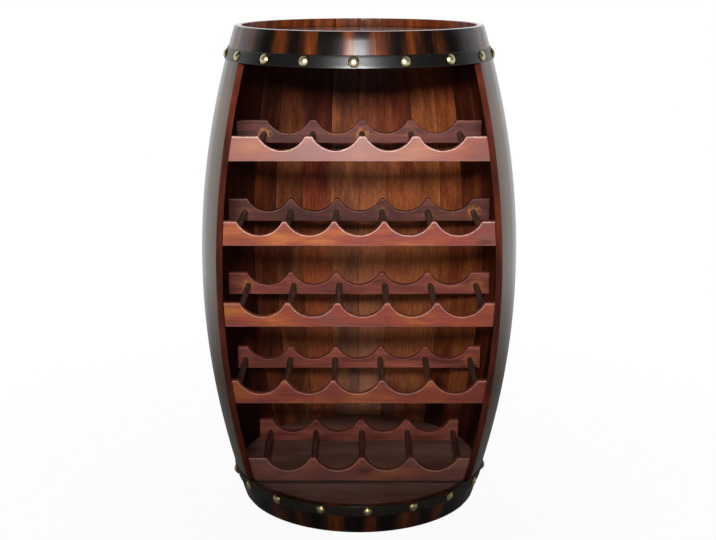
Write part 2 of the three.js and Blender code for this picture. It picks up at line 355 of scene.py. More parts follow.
def lacquer_skin(tree):
    """Lacquer flows out smooth but keeps a slow wave, about 25 mm wide and 0.1 mm high."""
    return add(tree, "TexNoise", spots(tree, 25, 70, 1)), 0.1 * MM


# The coat gives a clear, soft-edged mirror, and no light is lost to a second, duller one below it.
lacquered_stave = finish("lacquered_shaded_stain", shaded_stain, lacquer_skin,
                         roughness=0.6, specular_ior_level=0.0, coat_weight=0.95,
                         coat_roughness=0.2, ior=OIL_AND_LACQUER_IOR)
print("nodes in the lacquer:", len(lacquered_stave.node_tree.nodes))

# %% [markdown]
# ## Inside of the staves
# The inside was stained but hardly lacquered, so each board keeps its own tone, from dark cherry to
# golden walnut, with blotches where the stain soaked in. Each board could have a material of its
# own, but one is easier to tune: two colour ramps, a cherry and a walnut one, are read at a
# per-board tone that noise moves, and a second per-board number, its gold, mixes the two.

# %% Finish: inside boards
def inside_stain(tree):
    tone = add(tree, "Attribute", out="Fac", attribute_name="tone")
    blotch = mottle(tree, (30, 120), -0.32, 0.32, 4, 0.6)
    place = add(tree, "Math", {0: tone, 1: blotch}, operation="ADD")
    cherry = add(tree, "ValToRGB", {"Fac": place}, [
        (0.0, "#1c0704"), (0.35, "#3c130a"), (0.65, "#5c2512"), (1.0, "#7c3d1e")])
    walnut = add(tree, "ValToRGB", {"Fac": place}, [
        (0.0, "#22100a"), (0.35, "#472414"), (0.65, "#66381f"), (1.0, "#8c5630")])
    gold = add(tree, "Attribute", out="Fac", attribute_name="gold")
    stain = add(tree, "Mix", {FACTOR: gold, FIRST: cherry, SECOND: walnut}, data_type="RGBA")
    stain = grained(tree, stain, (1.8, 70), 0.6, 1.35, 4, 0.65)
    return grained(tree, stain, (2.5, 9), 0.7, 1.3, 4, 0.7, read=(0.35, 0.65))


def unsanded(tree):
    """Planed but never sanded: fine ridges along the grain, 0.25 mm deep."""
    return add(tree, "TexNoise", spots(tree, 2.2, 45, 3, 0.6)), 0.25 * MM


# Bare stained wood: a broad, weak sheen that the ridges break up, and no mirror.
inside_board = finish("stained_unsanded_pine", inside_stain, unsanded,
                      roughness=0.42, specular_ior_level=0.2, ior=OIL_AND_LACQUER_IOR)
print("nodes in the inside stain:", len(inside_board.node_tree.nodes))

# %% [markdown]
# ## Cut edges, end grain and the chime
# The edges cut at the opening are smoother and redder than the boards, because planed pine takes a
# mahogany stain evenly there. End grain drinks stain and turns dark, and the lacquer on it shows
# as a thin bright line round the rim. The chime is the part of the staves that stands above the
# top board, and its inside was lacquered with the outside. One finish could do for all, but these
# faces meet at sharp corners in the light, where the eye sees each difference.

# %% Finish: cut edges, end grain and chime
def edge_stain(tree):
    stain = add(tree, "ValToRGB", {"Fac": add(tree, "TexNoise", spots(tree, 12, 60, 3))}, [
        (0.3, "#300e07"), (0.5, "#4a1809"), (0.7, "#622612")])
    return grained(tree, stain, (1.2, 40), 0.8, 1.15, 3)


def end_stain(tree):
    return add(tree, "ValToRGB", {"Fac": add(tree, "TexNoise", spots(tree, 3, 3, 4, 0.7))}, [
        (0.3, "#24100a"), (0.55, "#3e1c10"), (0.75, "#6a3820")])


def chime_stain(tree):
    stain = add(tree, "ValToRGB", {"Fac": add(tree, "TexNoise", spots(tree, 14, 50, 3))}, [
        (0.3, "#3c1a0a"), (0.5, "#5a270f"), (0.7, "#7e3e18")])
    return grained(tree, stain, (1.4, 60), 0.7, 1.25, 4, 0.6)


# Satin and even, so the opening's outline reads as one red line.
cut_edge = finish("mahogany_stained_cut_edge", edge_stain, lacquer_skin,
                  roughness=0.5, specular_ior_level=0.22, ior=OIL_AND_LACQUER_IOR)
# Flooded with lacquer, so the rim glints.
end_grain = finish("lacquered_end_grain", end_stain, None, roughness=0.4, coat_weight=1.0,
                   coat_roughness=0.15, ior=OIL_AND_LACQUER_IOR)
# A thinner coat than outside: warm colour with a light gloss.
chime_inside = finish("lacquered_chime_inside", chime_stain, lacquer_skin, roughness=0.4,
                      specular_ior_level=0.3, coat_weight=0.6, coat_roughness=0.12,
                      ior=OIL_AND_LACQUER_IOR)
print("more stave finishes:", [m.name for m in (cut_edge, end_grain, chime_inside)])

# %% [markdown]
# ## The section of a stave
# Twenty staves run the full height round the back and sides, and nine short ones close the front
# above and below the opening. A cooper cuts a groove round their insides near each end, which holds
# the head's tongue. The groove could be cut with a boolean, but as the section is a loop of points
# anyway, the loop just steps out there: it runs up the outside and down the inside of the stave.

# %% Stave heights
CLEARANCE = 0.3 * MM
TONGUE = 6 * MM
GROOVE_EASE, GROOVE_ROOM = 0.05 * MM, 2 * MM
ARRIS, CHIME_EASE = 0.9 * MM, 1.6 * MM
LONGEST_SHORT_STAVE = 300 * MM
END_ROOM, ROW_STEP = 8 * MM, 14 * MM

grooves = []
for panel in ("floor_board", "top_head"):
    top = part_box(panel)[1].z
    grooves.append((top - TONGUE - CLEARANCE, top + CLEARANCE,
                    float(radius_from_axis(vertices(panel)).max()) + CLEARANCE))


def stave_heights(low, high):
    """Heights of the loop's points, how far each draws in, and the inside radius at each."""
    ease = CHIME_EASE if high - low > LONGEST_SHORT_STAVE else ARRIS
    body = list(np.arange(low + END_ROOM, high - END_ROOM, ROW_STEP))
    cuts = []
    for bottom, top, _ in grooves:
        if low < bottom < high:
            body = [z for z in body if not bottom - GROOVE_ROOM < z < top + GROOVE_ROOM]
            cuts += [bottom - GROOVE_EASE, bottom, top, top + GROOVE_EASE]
    z, inward = rounded_run(low, high, ease, np.sort(body + cuts))
    inside = wall(z) - thickness + inward
    for bottom, top, radius in grooves:
        inside[(z > bottom - GROOVE_EASE / 2) & (z < top + GROOVE_EASE / 2)] = radius
    return z, inward, inside


print("grooves from, to and out to, in mm:",
      [[round(float(v) / MM, 1) for v in groove] for groove in grooves])

# %% [markdown]
# ## Across a stave
# A cooper planes each full stave nearly flat, so the barrel's outside is a ring of shallow flats
# with a fine V between them, and that is what breaks up the reflections on its sides. The V is
# nearly filled with lacquer, while the inner edges keep their full rounding. A smooth shell with
# drawn lines could look alike from the front, but its outline and its reflections would not. The
# short staves look as if they were turned once they were joined, so they hardly have flats.

# %% Stave columns
FILLED_ARRIS = 0.05 * MM
FLATNESS, TURNED_FLATNESS = 0.18, 0.02       # 0 is round, 1 is planed flat
STAVE_COLUMNS = 8


def stave_columns(cad, flatness):
    """Angles of a stave's columns of points, how far each draws in at the stave's edges and for
    the flat, its place from edge to edge, and half of the stave's angle."""
    angles = angle_round_axis(cad)
    if angles.max() - angles.min() > math.pi:
        angles = angles % (2 * math.pi)
    touch = CLEARANCE / 2 / bilge
    low, high = angles.min() - touch, angles.max() + touch
    half = (high - low) / 2
    turn, draw = rounded_run(low, high, ARRIS / bilge,
                             np.linspace(low, high, STAVE_COLUMNS)[1:-1])
    across = (turn - (low + high) / 2) / half
    flat = flatness * bilge * (1 - math.cos(half)) * (1 - across**2)
    return turn, draw * bilge, flat, across, half


print("a full stave's flat is deepest by, in mm:",
      round(float(stave_columns(sample, FLATNESS)[2].max()) / MM, 2))

# %% [markdown]
# ## How each stave is stained
# A full stave is darkest at its edges, so its shade is its place from edge to edge. The short
# staves at both ends were sprayed together, after they were joined. The spray left light places at
# some angles, whatever joints lie below, so there the shade is the distance from the nearest one.
# Inside, a board's tone drifts along its length, darker toward the top: partly its own tone, and
# partly painted shade under the top board. Painted shade also darkens some boards at the foot, just
# above the floor board, where the rails keep the light off. Painted masks could hold all this, but a
# few numbers are easier to correct.

# %% Stave stain
BELLY_START, BELLY_FADE = 45 * MM, 60 * MM
# painted shade at the foot of some inside boards: full below 80 mm, none from 130 mm up
SHADE_AT_FOOT_TOP, SHADE_AT_FOOT_FADE = 130 * MM, 50 * MM
SPRAY_SPREAD, DARKEST = 2.2, 1.2


def stave_stain(turn, side, up, stain, light_places):
    """The attributes that the stave finishes read. stain is (tone, gold, drift, foot): drift is
    partly painted shade toward the top, and foot is painted shade just above the floor board.
    """
    tone, gold, along, foot_shade = stain
    from_end = np.minimum(up, height - up)
    belly = BELLY_SHADE * np.clip((from_end - BELLY_START) / BELLY_FADE, 0, 1)
    shade = side
    if light_places is not None:
        angle, width, dark = light_places.T
        off = abs(np.degrees(turn)[:, None] - angle) / (SPRAY_SPREAD * width) + dark
        shade = np.minimum(off.min(-1), DARKEST)[:, None] + 0 * side
    # painted shade: the drift darkens a board toward the top, partly as shade under the top board,
    # and the foot shade darkens it just above the floor board
    tone = (tone + along * (1 - 2 * up / height)
            - foot_shade * np.clip((SHADE_AT_FOOT_TOP - up) / SHADE_AT_FOOT_FADE, 0, 1))
    return {"side": shade, "tone": tone, "gold": 0 * side + gold, "belly": belly}


print("the belly's plain brown begins", round(BELLY_START / MM), "mm from each end")

# %% [markdown]
# ## Building a stave
# Each stave is a loft round the barrel. Its long edges are the loft's two ends, and which finish a
# face gets follows from where on the loop it lies: outside, inside, end grain, or chime. The short
# lower staves end at the opening with a lip that was sprayed and lacquered like the outside.

# %% Stave builder
STAVE_FINISHES = [lacquered_stave, inside_board, cut_edge, end_grain, chime_inside]
OUTSIDE, INSIDE, CUT, END, CHIME = range(5)
GRAIN_STEP_ACROSS, GRAIN_STEP_ALONG = 0.31, 1.7     # so that no two staves share their grain
head_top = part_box("top_head")[1].z


def stave(name, node, stain, step, light_places=None, flatness=FLATNESS):
    cad = vertices(node)
    z, inward, inside = stave_heights(cad[:, 2].min(), cad[:, 2].max())
    turn, draw, flat, across, half = stave_columns(cad, flatness)
    outer = wall(z)[None] - inward[None] - (draw * FILLED_ARRIS / ARRIS + flat)[:, None]
    inner = inside[None] + draw[:, None]
    radius = np.concatenate([outer, inner[:, ::-1]], axis=1)
    up = np.concatenate([z, z[::-1]])[None] + 0 * radius
    side = across[:, None] + 0 * radius
    points = np.stack([radius * np.sin(turn)[:, None], axis_y - radius * np.cos(turn)[:, None],
                       up], -1)
    place = np.stack([side * half * radius + step * GRAIN_STEP_ACROSS, wall(up) - radius,
                      up + step * GRAIN_STEP_ALONG], -1)
    faces, spans = loft(points)
    upper_end = END if z[-1] > height / 2 else OUTSIDE
    by_span = [OUTSIDE] * (len(z) - 1) + [upper_end]
    by_span += [CHIME if h > head_top else INSIDE for h in z[::-1][1:]] + [END]
    face_finish = [by_span[s] if s >= 0 else CUT for s in spans]
    return make_piece(name, points, faces, STAVE_FINISHES, face_finish, node, "lacquered_stave",
                      board=place, **stave_stain(turn, side, up, stain, light_places))


print("stave finishes:", len(STAVE_FINISHES))

# %% [markdown]
# ## All the staves
# The stains of the boards that show through the opening are matched to the photograph one by one,
# and the others are drawn at random from a fixed seed, as the photograph doesn't show them. The
# light places of both ends are measured on the photograph too. Random stains for all would be less
# to type, but the tones of the back boards are among the first things that the eye compares.

# %% Build the staves
tones = np.random.default_rng(7)
# drift is partly painted shade toward the top, and foot is painted shade just above the floor board
BACK_BOARDS = {      # stave: (tone, gold, drift, foot)
    5: (0.4, 0.2, 0.3, 0.4), 6: (0.75, 0.3, 0.6, 0.8), 7: (0.75, 0.3, 0, 0.7),
    8: (1.05, 0.45, 0.3, 0.9), 9: (1.0, 0.2, 0.5, 0.9), 10: (1.0, 0.35, 0.55, 0.1),
    11: (0.75, 0.7, 0.25, 0.2), 12: (0.8, 0, 0.8, 0), 13: (0.55, 0.8, 0.15, 0),
    14: (0.4, 0.5, 0.3, 0), 15: (0.1, 0.2, 0.2, 0), 16: (-0.1, 0.1, 0, 0),
    17: (-0.2, 0.1, 0, 0), 18: (-0.2, 0.1, 0, 0)}
SHORT_STAVE_STAIN = (0.4, 0.3, 0, 0)
FULL_STAVES, SHORT_STAVES = 20, 9
LIGHT_PLACES = {       # angle and half width in degrees, added darkness
    "upper": np.array([(-54.3, 5, 0.15), (-34.8, 4.8, 0.1), (-21.1, 4.4, 0.14), (-4.5, 3.6, 0.02),
                       (7.9, 4.3, 0), (22.2, 4.5, 0.1), (35.5, 4.6, 0.2), (50, 3, 0.45)]),
    "lower": np.array([(-41, 8, 0.2), (-26, 6, 0.24), (-11, 6, 0.0), (6, 5.5, 0.14), (22, 6, 0.08),
                       (38, 5.5, 0.12), (53, 4, 0.3)])}
staves = []
for i in range(1, FULL_STAVES + 1):       # draws are made for every stave, listed or not
    stain = BACK_BOARDS.get(i, (tones.uniform(0.1, 0.5), tones.uniform(0, 0.5), 0, 0))
    staves.append(stave(f"full_stave_{i:02d}", f"stave_{i:02d}", stain, i))
for i in range(1, SHORT_STAVES + 1):
    for end, places in LIGHT_PLACES.items():
        staves.append(stave(f"{end}_end_stave_{i}", f"{end}_short_stave_{i}", SHORT_STAVE_STAIN,
                            FULL_STAVES + i, places, TURNED_FLATNESS))
print(len(staves), "staves,", sum(len(s.data.polygons) for s in staves), "faces")

# %% [markdown]
# ## Finishes of the hoops
# Two hoops of black iron hold the ends. The iron is rolled strip under satin black paint, a little
# rough to the touch, so a lamp makes a soft grey patch on it. The lower hoop, near the floor, is
# more scuffed: it is browner, and its sheen spreads wider. A metal shader could do for bare iron,
# but paint covers this, so both are black with a weak reflection.

# %% Finish: iron
def iron_black(tree, colours=("#070605", "#0d0c0a", "#1a1814")):
    speckle = mottle(tree, (2.5, 2.5), 0.0, 1.0, 3, 0.7, read=(0.35, 0.65))
    return add(tree, "ValToRGB", {"Fac": speckle}, [*zip((0.0, 0.6, 1.0), colours)])


def scuffed_black(tree):
    return iron_black(tree, ("#120e09", "#221b12", "#352b1d"))


def rolled_skin(tree):
    """Mill scale under paint: bumps 2 mm wide and 0.08 mm high."""
    return add(tree, "TexNoise", spots(tree, 2.0, 2.0, 3, 0.6)), 0.08 * MM


# Satin paint: one soft grey patch under the lamp.
upper_iron = finish("satin_black_hoop_iron", iron_black, rolled_skin,
                    roughness=0.33, specular_ior_level=0.38)
# Scuffed paint: a wider, browner sheen without a bright patch.
lower_iron = finish("scuffed_black_hoop_iron", scuffed_black, rolled_skin,
                    roughness=0.45, specular_ior_level=0.55)
print("iron finishes:", upper_iron.name, lower_iron.name)

# %% [markdown]
# ## The hoops
# A hoop is a strip bent into a slightly conical ring, because it lies on the barrel's slope. Its
# inside follows from the CAD solid's lowest and highest rows. A cylinder with a solidify modifier
# would do too, but the loft gives it the rounded edges that catch the light.

# %% Build the hoops
HOOP_ARRIS = 0.6 * MM
HOOP_ROWS, STEPS_AROUND = 5, 192


def full_turn(steps):
    """Angles once round, in so many steps."""
    return np.linspace(0, 2 * math.pi, steps + 1)[:-1]


def hoop(name, node, iron):
    """The hoop's piece. It gives back its CAD points, its inside at each height, and its strip."""
    cad = vertices(node)
    low, high = cad[:, 2].min(), cad[:, 2].max()
    band = [radius_from_axis(row(cad, z)) for z in (low, high)]
    inside = np.polynomial.Polynomial.fit([low, high], [b.min() for b in band], 1)
    strip = float(np.ptp(band[0]))
    z, inward = rounded_run(low, high, HOOP_ARRIS, np.linspace(low, high, HOOP_ROWS)[1:-1])
    radius = np.concatenate([inside(z) + strip - inward, (inside(z) + inward)[::-1]])
    up = np.concatenate([z, z[::-1]])
    turn = full_turn(STEPS_AROUND)[:, None]
    points = np.stack([radius * np.sin(turn), axis_y - radius * np.cos(turn), up + 0 * turn], -1)
    faces, _ = loft(points, closed=True)
    place = np.stack([up + 0 * turn, radius + 0 * turn, radius * turn], -1)
    make_piece(name, points, faces, [iron], None, node, "black_iron", board=place)
    return cad, inside, strip


upper_hoop = hoop("upper_iron_hoop", "upper_hoop", upper_iron)
lower_hoop = hoop("lower_iron_hoop", "lower_hoop", lower_iron)
print("hoop strips in mm:", [round(h[2] / MM, 1) for h in (upper_hoop, lower_hoop)])

# %% [markdown]
# ## Brass of the rivets
# Domed nails of brass stand round both hoops. Brass darkens where nothing rubs it, so a dome is
# brown at its rim and pale gold on top, and the lower ones are rubbed brighter. Plain yellow
# metal would look new, so the ramp reads how high on the dome a point is, with stains of 1.6 mm.

# %% Finish: brass
def brass_patina(tree, colours=("#2e2612", "#98895a", "#ccc092", "#eae0bc")):
    rise = add(tree, "Attribute", attribute_name="rise")
    stain = mottle(tree, (1.6, 1.6), -0.16, 0.16, 3, 0.6)
    place = add(tree, "Math", {0: rise, 1: stain}, operation="ADD")
    return add(tree, "ValToRGB", {"Fac": place}, [*zip((0.1, 0.3, 0.6, 1.0), colours)])


def worn_patina(tree):
    return brass_patina(tree, ("#3a2c10", "#b49350", "#e6cf94", "#faf0cc"))


# Old brass: a blurred glint instead of a sharp one.
aged_brass = finish("aged_brass_dome", brass_patina, None, metallic=1.0, roughness=0.36)
# Rubbed brass: the same glint, paler and yellower.
worn_brass = finish("worn_brass_dome", worn_patina, None, metallic=1.0, roughness=0.35)
print("brass finishes:", aged_brass.name, worn_brass.name)

# %% [markdown]
# ## A rivet
# Each nail head is turned round its own axis, from a flat rim up to a dome that is part of a ball.
# A squashed sphere would have no rim, and the rim's small dark line is what makes it look driven
# in. Rings of points round the axis make the profile, and triangles close it at the tip.

# %% Rivet mesh
RIVET_RADIUS, RIVET_RISE = 8.2 * MM, 4.5 * MM
RIVET_STEPS, DOME_RINGS = 32, 9
FIRST_DOME_RING = 0.97       # share of the dome's slope at its rim
RIVET_RIM = ((0.96, -0.6 * MM), (1, 0.1 * MM), (0.985, 0.35 * MM))   # share of the radius, height


def ring_faces(rings, steps):
    """Quads between rings of points that are stacked one after the other."""
    return [(a * steps + j, a * steps + (j + 1) % steps,
             (a + 1) * steps + (j + 1) % steps, (a + 1) * steps + j)
            for a in range(rings - 1) for j in range(steps)]


def rivet_mesh(radius, rise):
    """A domed nail head, standing on its rim in the plane z = 0."""
    ball = (radius**2 + rise**2) / (2 * rise)
    slopes = np.linspace(2 * math.atan(rise / radius) * FIRST_DOME_RING, 0, DOME_RINGS)
    rings = [(radius * share, z) for share, z in RIVET_RIM]
    rings += [(ball * math.sin(s), rise - ball + ball * math.cos(s)) for s in slopes[1:-1]]
    turn = full_turn(RIVET_STEPS)
    points = [(r * math.cos(t), r * math.sin(t), z) for r, z in rings for t in turn]
    faces = ring_faces(len(rings), RIVET_STEPS)
    tip, last = len(points), (len(rings) - 1) * RIVET_STEPS
    points.append((0, 0, rise))
    faces += [(last + j, last + (j + 1) % RIVET_STEPS, tip) for j in range(RIVET_STEPS)]
    faces.append(tuple(range(RIVET_STEPS - 1, -1, -1)))
    return np.array(points), faces


print("points in one rivet:", len(rivet_mesh(RIVET_RADIUS, RIVET_RISE)[0]))

# %% [markdown]
# ## All the rivets
# The CAD hoops carry their rivets as plain domes, so their angles are measured there: each dome's
# top stands out furthest, and its points make one group. An array modifier would space them
# evenly, but the real ones were set by eye. Each fine rivet then leans with the hoop's slope.

# %% Build the rivets
TIP_DEPTH = 0.3 * MM
CLOSEST_RIVETS = math.radians(4)
RIVET_STAIN_STEP = 0.05       # so that no two rivets share their stains


def rivet_angles(cad, band_radius):
    """Each dome's top stands out from the band, and the middle of its points is its angle."""
    out = radius_from_axis(cad) - band_radius
    tips = np.sort(angle_round_axis(cad[out > out.max() - TIP_DEPTH]))
    start = tips[np.argmax(np.diff(tips)) + 1]
    tips = np.sort((tips - start) % (2 * math.pi)) + start
    groups = np.split(tips, np.flatnonzero(np.diff(tips) > CLOSEST_RIVETS) + 1)
    return [(group[0] + group[-1]) / 2 for group in groups]


def rivet_ring(name, hoop_facts, brass):
    """Rivets round one hoop, each turned to face outward."""
    cad, inside, strip = hoop_facts
    low, high = cad[:, 2].min(), cad[:, 2].max()
    lean = math.atan((inside(high) - inside(low)) / np.ptp(cad[:, 2]))
    middle = (high + low) / 2
    shape, faces = rivet_mesh(RIVET_RADIUS, RIVET_RISE)
    seat = inside(middle) + strip
    angles = rivet_angles(cad, inside(cad[:, 2]) + strip)
    for i, angle in enumerate(angles):
        outward = np.array([math.sin(angle) * math.cos(lean), -math.cos(angle) * math.cos(lean),
                            -math.sin(lean)])
        sideways = np.array([math.cos(angle), math.sin(angle), 0])
        upward = np.cross(outward, sideways)
        centre = np.array([seat * math.sin(angle), axis_y - seat * math.cos(angle), middle])
        turned = shape @ np.array([sideways, upward, outward]) + centre
        make_piece(f"{name}_{i + 1:02d}", turned, faces, [brass], None, None, "antique_brass",
                   board=shape + i * RIVET_STAIN_STEP,
                   rise=np.clip(shape[:, 2] / RIVET_RISE, 0, 1))
    return len(angles)


print("rivets:", rivet_ring("upper_rivet", upper_hoop, aged_brass),
      rivet_ring("lower_rivet", lower_hoop, worn_brass))

# %% [markdown]
# ## Finishes of the two heads
# A round board closes the top a little below the rim, and another is the floor that the lowest tier
# stands on. The top is dark and flooded with gloss lacquer, so it mirrors the orange inside of the
# rim. The floor board is a greyer brown with a satin sheen. It is glued up from planks, and one
# joint shows in front as a dark line. Its far part is painted darker, as it is in the photograph: a
# painted shade where the boards behind keep the light from it. The line could be a groove in the
# mesh, but it is about two pixels wide, so the stain draws it.

# %% Finish: panel stains
JOINT_PLACE = -127 * MM
JOINT_LINE = (2.4 * MM, 4 * MM, 0.02, 1.0)         # dark at the joint, and plain 4 mm from it
# painted shade: the floor board darkens toward the back wall
PAINTED_SHADE_AT_BACK = (100 * MM, 160 * MM, 1.0, 0.35)         # plain in front, and darker at the back


def top_stain(tree):
    stain = add(tree, "ValToRGB", {"Fac": add(tree, "TexNoise", spots(tree, 40, 200, 3))}, [
        (0.3, "#20100b"), (0.5, "#2e1810"), (0.7, "#3e2218")])
    return grained(tree, stain, (1.6, 80), 0.85, 1.15, 3)


def floor_stain(tree):
    stain = add(tree, "ValToRGB", {"Fac": add(tree, "TexNoise", spots(tree, 30, 160, 4))}, [
        (0.3, "#664a40"), (0.5, "#7a5c50"), (0.7, "#8e6e5e")])
    stain = grained(tree, stain, (1.6, 80), 0.75, 1.2, 3)
    across = add(tree, "SeparateXYZ", {0: add(tree, "Attribute", attribute_name="board")}, out="X")
    joint = add(tree, "Math", {0: across, 1: JOINT_PLACE}, operation="SUBTRACT")
    joint = add(tree, "Math", {0: joint}, operation="ABSOLUTE")
    # painted shade toward the back of the floor board
    far = add(tree, "MapRange", {"Value": across, **between(*PAINTED_SHADE_AT_BACK)})
    line = add(tree, "MapRange", {"Value": joint, **between(*JOINT_LINE)})
    for factor in (far, line):
        stain = add(tree, "VectorMath", {0: stain, "Scale": factor}, operation="SCALE")
    return stain


# A deep, clear gloss like still water.
glossy_panel = finish("gloss_lacquered_dark_panel", top_stain, None, roughness=0.5,
                      specular_ior_level=0.2, coat_weight=1.0, coat_roughness=0.06,
                      ior=OIL_AND_LACQUER_IOR)
# A thin coat over grey-brown, which pales toward the viewer, as painted shade darkens its back.
satin_panel = finish("satin_stained_panel", floor_stain, lacquer_skin, roughness=0.5,
                     specular_ior_level=0.3, coat_weight=0.6, coat_roughness=0.12,
                     ior=OIL_AND_LACQUER_IOR)
print("panel finishes:", glossy_panel.name, satin_panel.name)

# %% [markdown]
# ## The two heads
# Each head has a tongue round its upper edge that sits in the staves' groove. Rings of points
# stacked up its side make the turned edge, and rings that shrink to the middle fill its faces. A
# face could also be one large polygon, but small quads shade and bake more evenly.

# %% Build the heads
PANEL_EASE = 0.6 * MM
RING_SHARES = (0.995, 0.9, 0.75, 0.6, 0.45, 0.3, 0.15, 0.04)


def head(name, node, finish_used):
    low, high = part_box(node)[0].z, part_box(node)[1].z
    cad = vertices(node)
    wide = float(radius_from_axis(cad).max())
    narrow = float(radius_from_axis(cad[cad[:, 2] < low + MM / 10]).max())
    edge = [(narrow - PANEL_EASE, low), (narrow, low + PANEL_EASE),
            (narrow, high - TONGUE - GROOVE_EASE), (wide, high - TONGUE),
            (wide, high - PANEL_EASE), (wide - PANEL_EASE, high)]
    rings = [(share * narrow, low) for share in RING_SHARES[::-1]] + edge
    rings += [(share * wide, high) for share in RING_SHARES]
    turn = full_turn(STEPS_AROUND)
    loops = np.array([[(r * math.sin(t), axis_y - r * math.cos(t), z) for t in turn]
                      for r, z in rings])
    faces = ring_faces(len(rings), STEPS_AROUND)
    faces += [tuple(range(STEPS_AROUND)),
              tuple(range((len(rings) - 1) * STEPS_AROUND, len(rings) * STEPS_AROUND))]
    place = np.stack([loops[..., 1], loops[..., 2], loops[..., 0]], -1)
    return make_piece(name, loops, faces, [finish_used], None, node, "stained_board", board=place)


heads = [head("top_round_board", "top_head", glossy_panel),
         head("floor_round_board", "floor_board", satin_panel)]
print("faces in the heads:", [len(piece.data.polygons) for piece in heads])

# %% [markdown]
# ## Outline of the scalloped rails
# Every tier has two rails of planed pine with a cradle for each bottle. Cradles are arcs of 39 mm
# radius, all from one cutter, and the crests between them keep a narrow flat with rounded corners.
# The cuts were spaced by eye, so each tier has its own spacing, which is measured on the CAD
# rails. Boolean cuts would leave uneven faces along the arcs, so the top edge is walked instead,
# from crest to cradle to crest, and each point knows which way is out of the wood.

# %% Outline of a rail
CRADLE_DEPTH, REACH, ROUNDING = 21.5 * MM, 36 * MM, 2 * MM
CREST_POINTS, CRADLE_POINTS = 6, 31
CLOSEST_CRESTS, NARROWEST_CREST = 20 * MM, 1 * MM
centres_apart = (REACH**2 / CRADLE_DEPTH + CRADLE_DEPTH) / 2
CRADLE = centres_apart - ROUNDING
meeting = math.atan2(centres_apart - CRADLE_DEPTH, REACH)


def crest_places(node):
    """Middles of the crests' narrow flats, and beyond the outer two the same step once more."""
    cad = vertices(node)
    flats = np.sort(cad[cad[:, 2] > cad[:, 2].max() - MM / 100][:, 0])
    groups = np.split(flats, np.flatnonzero(np.diff(flats) > CLOSEST_CRESTS) + 1)
    crests_inside = [group for group in groups[1:-1] if np.ptp(group) > NARROWEST_CREST]
    inner = np.array([(group[0] + group[-1]) / 2 for group in crests_inside])
    step = np.diff(inner).mean()
    return np.concatenate([[inner[0] - step], inner, [inner[-1] + step]])


def scallops(crests, tall):
    """The top edge from the first cradle to the last: x, height, and which way is out in both."""
    down = np.linspace(math.pi / 2, meeting, CREST_POINTS)
    dip = np.linspace(math.pi + meeting, 2 * math.pi - meeting, CRADLE_POINTS)[1:-1]
    runs = []
    for x in (crests[:-1] + crests[1:]) / 2:
        for side, turn in ((-1, down), (0, dip), (1, math.pi - down[::-1])):
            out, up = np.cos(turn), np.sin(turn)
            if side:
                runs.append([x + side * REACH + ROUNDING * out,
                             tall - ROUNDING + ROUNDING * up, out, up])
            else:
                runs.append([x + CRADLE * out, tall - CRADLE_DEPTH + CRADLE + CRADLE * up,
                             -out, -up])
    return np.concatenate([np.stack(run, -1) for run in runs])


crests = {tier: crest_places(f"front_rail_{tier}") for tier in range(1, 6)}
rear_crests = {tier: crest_places(f"rear_rail_{tier}") for tier in range(1, 6)}
for tier in crests:
    print("tier", tier, "crests at, in mm:", (crests[tier] / MM).round(1),
          (rear_crests[tier] / MM).round(1))

# %% [markdown]
# ## Stain of the front rails
# The front rails took a bright mahogany stain, from plum to orange, with a few small knots. A pale
# pinkish patch along some of them, most on the uppermost, is a painted sheen of the lamps' light.
# Handling rubbed all their edges pale, and a painted highlight lies along their upper edges,
# brightest on the upper tiers. Wear and highlight could be a painted mask, but the edges are known,
# so each point carries how worn and how lit it is, and noise breaks the pale line up. The knots are
# dark spots at the scattered points of a Voronoi texture.

# %% Finish: front rails
KNOT_CELL = (60, 110)                  # mm across and along, one point in each
KNOT_CORE, KNOT_RIM = 0.05, 0.16       # shares of a cell, from full dark to none


def rubbed_and_highlit(tree, colour, pale):
    """Pale wood shows through where the stain is rubbed off the edges, with a painted highlight
    along them, in a broken line.
    """
    wear = add(tree, "Attribute", attribute_name="wear")
    broken = mottle(tree, (4, 14), 0.25, 1.0, 3, 0.7, read=(0.3, 0.6))
    amount = add(tree, "Math", {0: wear, 1: broken}, operation="MULTIPLY")
    return add(tree, "Mix", {FACTOR: amount, FIRST: colour, SECOND: pale}, data_type="RGBA")


def knots(tree):
    """Dark spots at a few scattered points, about 12 mm across and 23 mm along the grain."""
    distance = add(tree, "TexVoronoi", {"Vector": on_board(tree, *KNOT_CELL), "Scale": 1.0},
                   voronoi_dimensions="3D")
    return add(tree, "MapRange", {"Value": distance, **between(KNOT_CORE, KNOT_RIM, 1.0, 0.0)})


def red_pine(tree):
    blotch = add(tree, "TexNoise", spots(tree, 25, 90, 4, 0.55))
    stain = add(tree, "ValToRGB", {"Fac": blotch}, [
        (0.3, "#7c453c"), (0.42, "#84362a"), (0.54, "#944125"), (0.7, "#b1622c")])
    stain = grained(tree, stain, (1.4, 60), 0.68, 1.3, 4, 0.65)
    tone = add(tree, "Attribute", out="Fac", attribute_name="tone")
    stain = add(tree, "VectorMath", {0: stain, "Scale": tone}, operation="SCALE")
    # painted sheen: a pale patch where the lamps' light would gloss the rail
    sheen_patch = add(tree, "Attribute", out="Fac", attribute_name="patch")
    stain = add(tree, "Mix", {FACTOR: sheen_patch, FIRST: stain, SECOND: "#957670"}, data_type="RGBA")
    stain = add(tree, "Mix", {FACTOR: knots(tree), FIRST: stain, SECOND: "#4a1a12"},
                data_type="RGBA")
    return rubbed_and_highlit(tree, stain, "#dab2a6")


def planed(tree):
    """Planer marks and open grain, 0.12 mm deep."""
    return add(tree, "TexNoise", spots(tree, 1.8, 40, 3, 0.6)), 0.12 * MM


